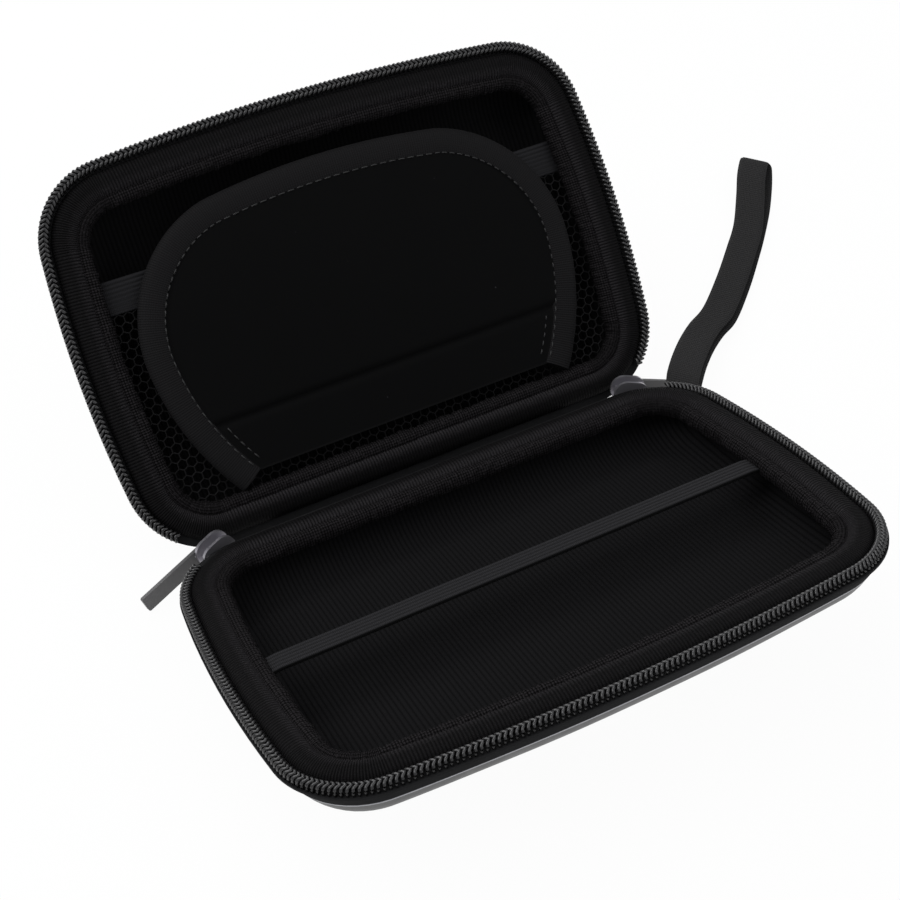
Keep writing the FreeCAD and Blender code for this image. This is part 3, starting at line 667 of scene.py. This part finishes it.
def tube(line, radius, sides=6, squash=1.0):
    """Points and faces of a closed tube along a line; squash flattens it in height."""
    line = np.asarray(line, float)
    tangent = np.gradient(line, axis=0)
    tangent /= np.linalg.norm(tangent, axis=1)[:, None]
    side = np.cross(tangent, np.array([0.0, 0.0, 1.0]))
    size = np.linalg.norm(side, axis=1)[:, None]
    side = np.where(size > 1e-6, side / np.maximum(size, 1e-9), np.array([1.0, 0.0, 0.0]))
    rise = np.cross(side, tangent)
    turns = np.linspace(0, 2 * math.pi, sides, endpoint=False)
    radii = np.broadcast_to(radius, (len(line),))
    ring = (side[:, None, :] * np.cos(turns)[None, :, None]
            + rise[:, None, :] * np.sin(turns)[None, :, None] * squash) * radii[:, None, None]
    points = (line[:, None, :] + ring).reshape(-1, 3)
    faces = []
    for k in range(len(line) - 1):
        for t in range(sides):
            a, b = k * sides + t, k * sides + (t + 1) % sides
            faces.append((a, b, b + sides, a + sides))
    faces.append(tuple(range(sides - 1, -1, -1)))
    last = (len(line) - 1) * sides
    faces.append(tuple(range(last, last + sides)))
    return points, faces


def merged(parts):
    """Several (points, faces) as one."""
    points, faces, total = [], [], 0
    for some, quads in parts:
        points.append(some)
        faces += [tuple(k + total for k in face) for face in quads]
        total += len(some)
    return np.vstack(points), faces


class CASE_OT_zip(bpy.types.Operator):
    """Both rows of the zip's coil, its tapes, sliders and pull tabs"""

    bl_idname = "case.zip"
    bl_label = "Zip"

    SOLIDS = {"base_zip_tape": "tape", "lid_zip_tape": "tape", "left_slider": "slider_metal",
              "right_slider": "slider_metal", "left_pull": "pull_metal", "right_pull": "pull_metal"}

    def execute(self, context):
        s = sizes()
        for body, up in HALVES.items():
            self.row(body, up, s)
        for name, slot in self.SOLIDS.items():
            node = frame["nodes"][name]
            node.data.materials.clear()
            node.data.materials.append(finish(slot))
            if slot.endswith("metal"):
                edge = node.modifiers.new("softened", "BEVEL")
                edge.width = 0.18 * MM
                edge.segments = 2
                edge.limit_method = "ANGLE"
        return {"FINISHED"}

    def row(self, body, up, s):
        """One loop of monofilament for each tooth: foot, over the tape, a round head at the row's edge."""
        rim = Rim(s.coil_pitch)
        low, high = s.tape_drop - 0.2 * MM, 1.05 * MM
        wire = s.coil_wire
        outer = (1.1 if body == "base" else 0.55) * MM
        inner = outer + s.coil_width
        end = 80.0 * MM
        hinge_side = (rim.run[:-1] < end) | (rim.run[:-1] > rim.total - end)
        loops = []
        for k in range(rim.count):
            if hinge_side[k]:
                continue
            way = rim.out[k]
            along = np.array([-way[1], way[0]])
            lean = 0.36 * s.coil_pitch
            path = [(inner, low, -lean), (inner - 0.1 * MM, high + 0.7 * MM, -lean),
                    (inner - 0.55 * MM, high, -lean * 0.6), ((inner + outer) / 2, high - 0.05 * MM, lean),
                    (outer + 0.5 * MM, high, -lean * 0.4), (outer, high + 0.6 * MM, -lean),
                    (outer, low, -lean)]
            line = []
            for inset, drop, shift in path:
                xy = rim.base[k] - way * inset + along * shift
                line.append((xy[0], xy[1], up * drop))
            line = smooth_line(line, 2)
            loops.append(tube(line, wire, 6))
        points, faces = merged(loops)
        if up > 0:
            faces = [f[::-1] for f in faces]
        piece = new_piece(f"{body}_zip_coil", points, faces, place_of(body), "teeth", body)
        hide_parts(f"{body}_zip_teeth")


class CASE_OT_elastics(bpy.types.Operator):
    """The elastic across the tray and the one along the pocket's mouth"""

    bl_idname = "case.elastics"
    bl_label = "Elastics"

    def execute(self, context):
        s = sizes()
        half = s.half_width - 11.5 * MM
        self.strip("tray_elastic", "base", "base_elastic", half, (-s.band_width / 2, s.band_width / 2),
                   -s.band_drop, 0.5 * MM)
        mouth = -s.net_mouth
        self.strip("pocket_mouth_elastic", "lid", "pocket_elastic", half, (mouth - 10.0 * MM, mouth),
                   s.net_height, 0.45 * MM)
        return {"FINISHED"}

    def strip(self, name, body, node, half, reach, level, wall):
        up = HALVES[body]
        xs = np.linspace(-half, half, 220)
        around = np.linspace(0, 1, 41)
        width = reach[1] - reach[0]
        cords = round(width / (1.3 * MM))
        ys = reach[0] + width * around
        ridge = np.abs(np.sin(math.pi * around * cords)) ** 0.6 * 0.24 * MM
        top, bottom = [], []
        for x in xs:
            bow = noise.noise(Vector((x * 30, level * 900, 0))) * 0.25 * MM
            sink = 0.8 * MM * max(0.0, (abs(x) / half - 0.93) / 0.07)
            top.append([(x, y + bow, level - up * (wall + r - sink)) for y, r in zip(ys, ridge)])
            bottom.append([(x, y + bow, level + up * (wall + sink)) for y in ys[::-1]])
        points = np.concatenate([np.array(top), np.array(bottom)], axis=1)
        across = np.concatenate([around * width, (1 + around) * width, [2 * width]])
        run = np.stack(np.meshgrid(xs + half, across, indexing="ij"), -1)
        data = grid(points, run, closed=True, flip=up > 0)
        piece = new_piece(name, data[0], data[1], place_of(body), "elastic", body, data[2])
        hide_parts(node)


class CASE_OT_net(bpy.types.Operator):
    """Fine six-sided net of the lid's pocket"""

    bl_idname = "case.net"
    bl_label = "Pocket net"

    SEED = 11

    def execute(self, context):
        s = sizes()
        # the vector noise takes its offsets from the clock unless it is seeded
        noise.seed_set(self.SEED)
        cell, thread = s.net_cell, s.net_thread
        side = cell / math.sqrt(3)
        rows = int((s.hinge_reach + s.net_mouth) / (1.5 * side)) + 2
        cols = int(2 * s.half_width / cell) + 2
        _, arcs = rim_arcs(s.set_out)
        inset = 10.8 * MM
        corner, centre_x, centre_y = s.corner_radius - inset, -arcs[0][0][0], arcs[0][0][1]
        side_x = s.half_width - s.side_radius

        def inside(x, y):
            if y < -s.net_mouth or y > s.hinge_reach + s.set_out - inset:
                return False
            if abs(x) > centre_x and y > centre_y:
                return math.hypot(abs(x) - centre_x, y - centre_y) < corner
            return math.hypot(abs(x) - side_x, y) < s.side_radius - inset

        names, verts, faces = {}, [], []
        for r in range(rows):
            for c in range(cols):
                x = -s.half_width + c * cell + (cell / 2 if r % 2 else 0)
                y = -s.net_mouth + side + r * 1.5 * side
                if not inside(x, y):
                    continue
                face = []
                for k in range(6):
                    turn = math.radians(60 * k + 30)
                    px, py = x + side * math.cos(turn), y + side * math.sin(turn)
                    key = (round(px * 1e5), round(py * 1e5))
                    key = next((q for q in ((key[0] + i, key[1] + j) for i in (0, -1, 1) for j in (0, -1, 1))
                                if q in names), key)
                    if key not in names:
                        names[key] = len(verts)
                        jitter = Vector(noise.noise_vector(Vector((px, py, 0)) * 300)) * 0.16 * MM
                        sag = 0.5 * MM * noise.noise(Vector((px * 30, py * 30, 4)))
                        verts.append((px + jitter.x, py + jitter.y, s.net_height + sag))
                    face.append(names[key])
                faces.append(face)
        piece = new_piece("pocket_net", verts, faces, LID, "net", None)
        wire = piece.modifiers.new("threads", "WIREFRAME")
        wire.thickness = thread
        wire.use_even_offset = False
        wire.use_boundary = True
        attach(piece, "lid")
        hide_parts("lid_net")
        return {"FINISHED"}


# The flap


def arc_through(a, b, c, count):
    """Points of the circular arc from a through b to c."""
    (ax, ay), (bx, by), (cx, cy) = a, b, c
    d = 2 * (ax * (by - cy) + bx * (cy - ay) + cx * (ay - by))
    ux = ((ax**2 + ay**2) * (by - cy) + (bx**2 + by**2) * (cy - ay) + (cx**2 + cy**2) * (ay - by)) / d
    uy = ((ax**2 + ay**2) * (cx - bx) + (bx**2 + by**2) * (ax - cx) + (cx**2 + cy**2) * (bx - ax)) / d
    radius = math.hypot(ax - ux, ay - uy)
    start, middle, end = (math.atan2(y - uy, x - ux) for x, y in (a, b, c))
    turn = (end - start) % (2 * math.pi)
    if (middle - start) % (2 * math.pi) > turn:
        turn -= 2 * math.pi
    angles = [start + turn * k / count for k in range(count)]
    return [(ux + radius * math.cos(angle), uy + radius * math.sin(angle)) for angle in angles]


def flap_outline(step):
    """Evenly spaced points along the flap's free edge, right foot to left, with normals and distances."""
    heel, crease = 44.1 * MM, sizes().crease
    half, foot, reach = 69.4 * MM, 53.5 * MM, 42.8 * MM
    shoulder, top = (54.5 * MM, -31.3 * MM), (38.0 * MM, -39.8 * MM)
    bulge = half - (half - foot) * (crease / (46.5 * MM)) ** 2
    foot = half - (half - foot) * (heel / (46.5 * MM)) ** 2
    round_out = 0.8 * MM
    right = [(foot, heel), (bulge, crease), (half, 0.0),
             (half - 0.31 * (half - shoulder[0]), 0.59 * shoulder[1]), shoulder,
             ((shoulder[0] + top[0]) / 2 + round_out, (shoulder[1] + top[1]) / 2 - round_out), top]
    line = []
    for k in (0, 2, 4):
        line += arc_through(right[k], right[k + 1], right[k + 2], 40)
    line += arc_through(top, (0.0, -reach), (-top[0], top[1]), 80)
    line += [(-x, y) for x, y in line[119::-1]]
    line = np.array(line)
    travelled = runs(line)
    count = int(travelled[-1] / step)
    wanted = np.linspace(0, travelled[-1], count + 1)
    line = np.stack([np.interp(wanted, travelled, line[:, k]) for k in (0, 1)], -1)
    tangent = np.gradient(line, axis=0)
    for _ in range(6):
        tangent[1:-1] = (tangent[:-2] + tangent[1:-1] + tangent[2:]) / 3
    tangent /= np.linalg.norm(tangent, axis=1)[:, None]
    return line, np.stack([-tangent[:, 1], tangent[:, 0]], -1), wanted


class CASE_OT_flap(bpy.types.Operator):
    """Padded screen flap with its knit binding, crease and stitches"""

    bl_idname = "case.flap"
    bl_label = "Screen flap"

    def execute(self, context):
        s = sizes()
        line, out, run = flap_outline(0.5 * MM)
        if out[len(out) // 2][1] > 0:
            out = -out
        pad = self.pad(s, line, out)
        binding = self.binding(s, line, out, run)
        seams = self.stitches(s, line, out, run)
        for piece in (pad, binding, seams):
            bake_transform(piece)
        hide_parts("flap_panel", "flap_hinge_panel")
        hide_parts("flap_binding")
        return {"FINISHED"}

    def level(self, s, x, y):
        """Height of the flap's near face: a crease, a step past it, and slow waves in the board."""
        crease = math.exp(-((y - s.crease) / (1.1 * MM)) ** 2) * 0.75 * MM
        beyond = 0.4 * MM if y > s.crease else 0.0
        wave = noise.noise(Vector((x * 22, y * 22, 0))) * 0.35 * MM
        return s.flap_height + crease + beyond + 0.15 * MM + wave

    def pad(self, s, line, out):
        inner = line - out * (s.flap_binding - 0.9 * MM)
        centre = len(inner) // 2
        right, left = inner[:centre + 1], inner[:centre - 1:-1]
        pairs = min(len(right), len(left))
        right, left = right[:pairs], left[:pairs]
        cols = 61
        share = np.linspace(0, 1, cols)
        near = right[:, None, :] * (1 - share)[None, :, None] + left[:, None, :] * share[None, :, None]
        keep = np.arange(0, pairs, 2)
        near = near[keep]
        rows = len(near)
        front, back = np.zeros((rows, cols, 3)), np.zeros((rows, cols, 3))
        for r in range(rows):
            for c in range(cols):
                x, y = near[r, c]
                z = self.level(s, x, y)
                front[r, c] = (x, y, z)
                back[r, c] = (x, y, z + s.flap_wall - 0.6 * MM)
        run = near.copy()
        one, two = grid(front, run, flip=True), grid(back, run)
        points = np.vstack([one[0], two[0]])
        total = len(one[0])
        faces = [tuple(f) for f in one[1]] + [tuple(f + total) for f in two[1]]
        edge = np.arange(rows * cols).reshape(rows, cols)
        loop = list(edge[0]) + list(edge[1:, -1]) + list(edge[-1, -2::-1]) + list(edge[-2:0:-1, 0])
        sides = [(a, b, b + total, a + total) for a, b in zip(loop, loop[1:] + loop[:1])]
        faces += [tuple(int(k) for k in f) for f in sides]
        runs_of = np.vstack([one[2], two[2], np.zeros((4 * len(sides), 2))])
        return new_piece("padded_flap", points, faces, LID, "flap_cloth", None, runs_of)

    def binding(self, s, line, out, run):
        """A folded strip of knit round the free edge, fuller than the board."""
        wide, low, high = s.flap_binding, s.flap_height - 0.2 * MM, s.flap_height + s.flap_wall + 0.5 * MM
        middle = (low + high) / 2
        section = np.array([(wide, low + 1.2 * MM), (wide - 0.5 * MM, low + 0.45 * MM), (wide * 0.62, low),
                            (wide * 0.3, low + 0.15 * MM), (0.9 * MM, low + 0.8 * MM), (0.0, middle),
                            (0.9 * MM, high - 0.8 * MM), (wide * 0.3, high - 0.15 * MM), (wide * 0.62, high),
                            (wide - 0.5 * MM, high - 0.45 * MM), (wide, high - 1.2 * MM)])
        section = smooth_line(section, 3)
        pucker = np.array([noise.noise(Vector((d * 170, 0.5, 0))) for d in run]) * 0.14 * MM
        rib = np.abs(np.sin(math.pi * run / (0.75 * MM))) * 0.07 * MM
        xy = line[:, None, :] - out[:, None, :] * section[None, :, 0:1]
        grown = np.sign(section[:, 1] - middle)[None, :] * (pucker + rib)[:, None]
        height = section[None, :, 1] + grown * np.sin(np.linspace(0, math.pi, len(section)))[None, :]
        points = np.concatenate([xy, height[:, :, None]], axis=2)
        cloth = np.stack(np.meshgrid(run, runs(section), indexing="ij"), -1)
        data = grid(points, cloth)
        return new_piece("flap_knit_binding", data[0], data[1], LID, "flap_binding", None, data[2])

    def stitches(self, s, line, out, run):
        """Lockstitches along the binding's inner edge, with a second row beside it past the crease."""
        parts = []
        pitch, stitch = 3.1 * MM, 2.3 * MM
        rows = ((s.flap_binding - 0.75 * MM, -1e9), (s.flap_binding + 2.2 * MM, s.crease + 2.0 * MM))
        for inset, least_y in rows:
            for k in range(1, int(run[-1] / pitch)):
                ends = []
                for d in (k * pitch - stitch / 2, k * pitch, k * pitch + stitch / 2):
                    ends.append([np.interp(d, run, line[:, j]) - np.interp(d, run, out[:, j]) * inset
                                 for j in (0, 1)])
                if ends[1][1] < least_y:
                    continue
                top = s.flap_height - (0.1 * MM if least_y < 0 else -0.35 * MM)
                heights = (top + 0.45 * MM, top, top + 0.45 * MM)
                path = smooth_line([(x, y, z) for (x, y), z in zip(ends, heights)], 3)
                parts.append(tube(path, 0.22 * MM, 5))
        points, faces = merged(parts)
        return new_piece("flap_stitches", points, faces, LID, "flap_binding", None, material="thread")


class CASE_OT_hinge(bpy.types.Operator):
    """Fabric spine between the two rims"""

    bl_idname = "case.hinge"
    bl_label = "Hinge fabric"

    def execute(self, context):
        s = sizes()
        edge = s.hinge_reach - 0.4 * MM
        start = CASE @ Vector((0, edge, -s.tape_drop - 0.3 * MM))
        end = LID @ Vector((0, edge, s.tape_drop + 0.3 * MM))
        half = 50.0 * MM
        across = np.linspace(0, 1, 13)
        along = np.linspace(-half, half, 121)
        points = np.zeros((len(along), len(across), 3))
        for i, x in enumerate(along):
            for k, t in enumerate(across):
                spot = start.lerp(end, t)
                ripple = noise.noise(Vector((x * 60, t * 2, 9))) * 0.25 * MM
                points[i, k] = (x, spot.y, spot.z + (ripple - 0.5 * MM * math.sin(math.pi * t)))
        cloth = np.stack(np.meshgrid(along + half, runs(points[0]), indexing="ij"), -1)
        data = grid(points, cloth)
        piece = new_piece("hinge_fabric", data[0], data[1], Matrix(), "tape", None, data[2],
                          material="binding")
        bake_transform(piece)
        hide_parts("hinge_strip")
        return {"FINISHED"}


class CASE_OT_strap(bpy.types.Operator):
    """Wrist loop of ribbed webbing, folded to a narrow eye"""

    bl_idname = "case.strap"
    bl_label = "Wrist loop"

    # the middle line of each layer: place across the ground and height above it, in millimetres
    UNDER = [(82.6, 50.2, 12.6), (86.4, 54.6, 11.4), (93.6, 62.3, 8.6), (101.4, 69.4, 6.4),
             (109.2, 75.2, 4.6), (118.6, 80.9, 3.0), (132.2, 92.9, 1.4), (144.6, 105.0, 0.7),
             (154.0, 114.6, 0.6), (164.0, 125.6, 0.6), (172.0, 135.6, 0.8), (176.8, 142.4, 1.7)]
    OVER = [(177.6, 144.6, 3.6), (175.4, 144.0, 5.6), (169.0, 136.8, 5.9), (161.9, 126.9, 4.9),
            (152.9, 115.1, 3.9), (144.0, 106.1, 3.6), (131.6, 94.1, 4.1), (117.9, 82.0, 5.4),
            (108.4, 76.1, 6.9), (100.7, 70.2, 8.6), (93.0, 63.1, 10.8), (85.8, 55.4, 13.4),
            (82.2, 50.8, 14.0)]

    def execute(self, context):
        s = sizes()
        path = smooth_line(np.array(self.UNDER + self.OVER) * MM, 60)
        path[:, 2] += GROUND
        travelled = runs(path)
        step = s.strap_rib / 4
        wanted = np.arange(0, travelled[-1], step)
        path = np.stack([np.interp(wanted, travelled, path[:, k]) for k in range(3)], -1)
        tangent = np.gradient(path, axis=0)
        tangent /= np.linalg.norm(tangent, axis=1)[:, None]
        heading = Vector((path[len(path) // 3] - path[0])[:2]).normalized()
        side = np.array([-heading.y, heading.x, 0.0])
        rise = np.cross(tangent, side)
        rise /= np.linalg.norm(rise, axis=1)[:, None]
        around = np.linspace(-1, 1, 15)
        rib = np.abs(np.sin(math.pi * wanted / s.strap_rib)) * 0.17 * MM
        half, wall = s.strap_width / 2, s.strap_wall / 2
        round_off = np.sqrt(np.clip(1 - np.abs(around) ** 8, 0, 1))
        proud = (wall - 0.12 * MM + rib[:, None]) * round_off[None, :]
        upper, lower = (path[:, None, :] + side * (around * half)[None, :, None]
                        + rise[:, None, :] * (sign * proud)[:, :, None] for sign in (1, -1))
        points = np.concatenate([upper, lower[:, ::-1]], axis=1)
        across = np.concatenate([(around + 1) * half, (around + 3) * half, [4 * half]])
        cloth = np.stack(np.meshgrid(wanted, across, indexing="ij"), -1)
        data = grid(points, cloth, closed=True)
        piece = new_piece("wrist_webbing", data[0], data[1], Matrix(), "webbing", "base", data[2])
        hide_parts("wrist_strap")
        return {"FINISHED"}


class CASE_OT_stage(bpy.types.Operator):
    """Pale floor, soft lamps and the camera"""

    bl_idname = "case.stage"
    bl_label = "Stage"

    EYE = (-129.81, -212.45, 335.55)
    TURN = (42.42993, 0.5382, -27.03881)
    LENS = 60.2064

    def execute(self, context):
        scene = context.scene
        scene.view_settings.view_transform = "Standard"
        self.floor()
        self.world(scene)
        self.lamp("key", (-0.55, 0.25, 0.95), 0.9, 7.0)
        self.lamp("fill", (0.75, -0.55, 0.8), 1.1, 3.2)
        self.lamp("rim", (0.1, 1.1, 0.75), 0.8, 6.0)
        camera = bpy.data.objects.new("photo_view", bpy.data.cameras.new("photo_view"))
        scene.collection.objects.link(camera)
        camera.location = Vector(self.EYE) * MM
        camera.rotation_euler = [math.radians(a) for a in self.TURN]
        camera.data.lens = self.LENS
        camera.data.clip_start = 0.01
        scene.camera = camera
        return {"FINISHED"}

    def floor(self):
        reach = 4.0
        mesh = bpy.data.meshes.new("floor")
        z = GROUND - 0.00005
        mesh.from_pydata([(-reach, -reach, z), (reach, -reach, z), (reach, reach, z), (-reach, reach, z)],
                         [], [(0, 1, 2, 3)])
        s = Shades("pale_floor", colours().floor, 0.9, 0.1)
        path = s.add("ShaderNodeLightPath").outputs
        seen = s.math("MAXIMUM", path["Is Camera Ray"], s.math("MAXIMUM", path["Is Glossy Ray"],
                                                               path["Is Transmission Ray"]))
        white = s.add("ShaderNodeEmission", {"Strength": 1.0})
        mix = s.add("ShaderNodeMixShader", {0: s.math("MULTIPLY", seen, 0.96)})
        s.tree.links.new(s.shader.outputs[0], mix.inputs[1])
        s.tree.links.new(white.outputs[0], mix.inputs[2])
        s.tree.links.new(mix.outputs[0], s.tree.nodes["Material Output"].inputs["Surface"])
        mesh.materials.append(s.material)
        floor = bpy.data.objects.new("floor", mesh)
        bpy.context.scene.collection.objects.link(floor)

    def world(self, scene):
        world = bpy.data.worlds.new("studio")
        scene.world = world
        world.use_nodes = True
        nodes, links = world.node_tree.nodes, world.node_tree.links
        light = nodes["Background"]
        light.inputs["Color"].default_value = (0.9, 0.92, 0.95, 1.0)
        light.inputs["Strength"].default_value = 0.55
        white = nodes.new("ShaderNodeBackground")
        white.inputs["Color"].default_value = (1.0, 1.0, 1.0, 1.0)
        path = nodes.new("ShaderNodeLightPath")
        mix = nodes.new("ShaderNodeMixShader")
        links.new(path.outputs["Is Camera Ray"], mix.inputs[0])
        links.new(light.outputs[0], mix.inputs[1])
        links.new(white.outputs[0], mix.inputs[2])
        links.new(mix.outputs[0], nodes["World Output"].inputs["Surface"])

    def lamp(self, name, place, size, power):
        data = bpy.data.lights.new(name, "AREA")
        data.energy = power
        data.size = size
        lamp = bpy.data.objects.new(name, data)
        bpy.context.scene.collection.objects.link(lamp)
        lamp.location = place
        lamp.rotation_euler = Vector(place).to_track_quat("Z", "Y").to_euler()


class CASE_PT_panel(bpy.types.Panel):
    """Lists the case's pieces"""

    bl_idname = "CASE_PT_panel"
    bl_label = "Carrying case"
    bl_space_type = "VIEW_3D"
    bl_region_type = "UI"
    bl_category = "Case"

    def draw(self, context):
        for step in STEPS:
            self.layout.operator(step.bl_idname)
        for group in (sizes(), colours()):
            box = self.layout.box()
            for name in group.__annotations__:
                box.prop(group, name)


STEPS = (CASE_OT_stage, CASE_OT_shells, CASE_OT_bindings, CASE_OT_zip, CASE_OT_hinge, CASE_OT_elastics,
         CASE_OT_net, CASE_OT_flap, CASE_OT_strap)
CLASSES = (CaseSizes, CaseColours, *STEPS, CASE_PT_panel)


def register():
    for item in CLASSES:
        bpy.utils.register_class(item)
    bpy.types.Scene.case_sizes = bpy.props.PointerProperty(type=CaseSizes)
    bpy.types.Scene.case_colours = bpy.props.PointerProperty(type=CaseColours)


def unregister():
    del bpy.types.Scene.case_colours
    del bpy.types.Scene.case_sizes
    for item in reversed(CLASSES):
        bpy.utils.unregister_class(item)


def main():
    register()
    for step in STEPS:
        group, name = step.bl_idname.split(".")
        getattr(getattr(bpy.ops, group), name)()


if __name__ == "__main__":
    main()
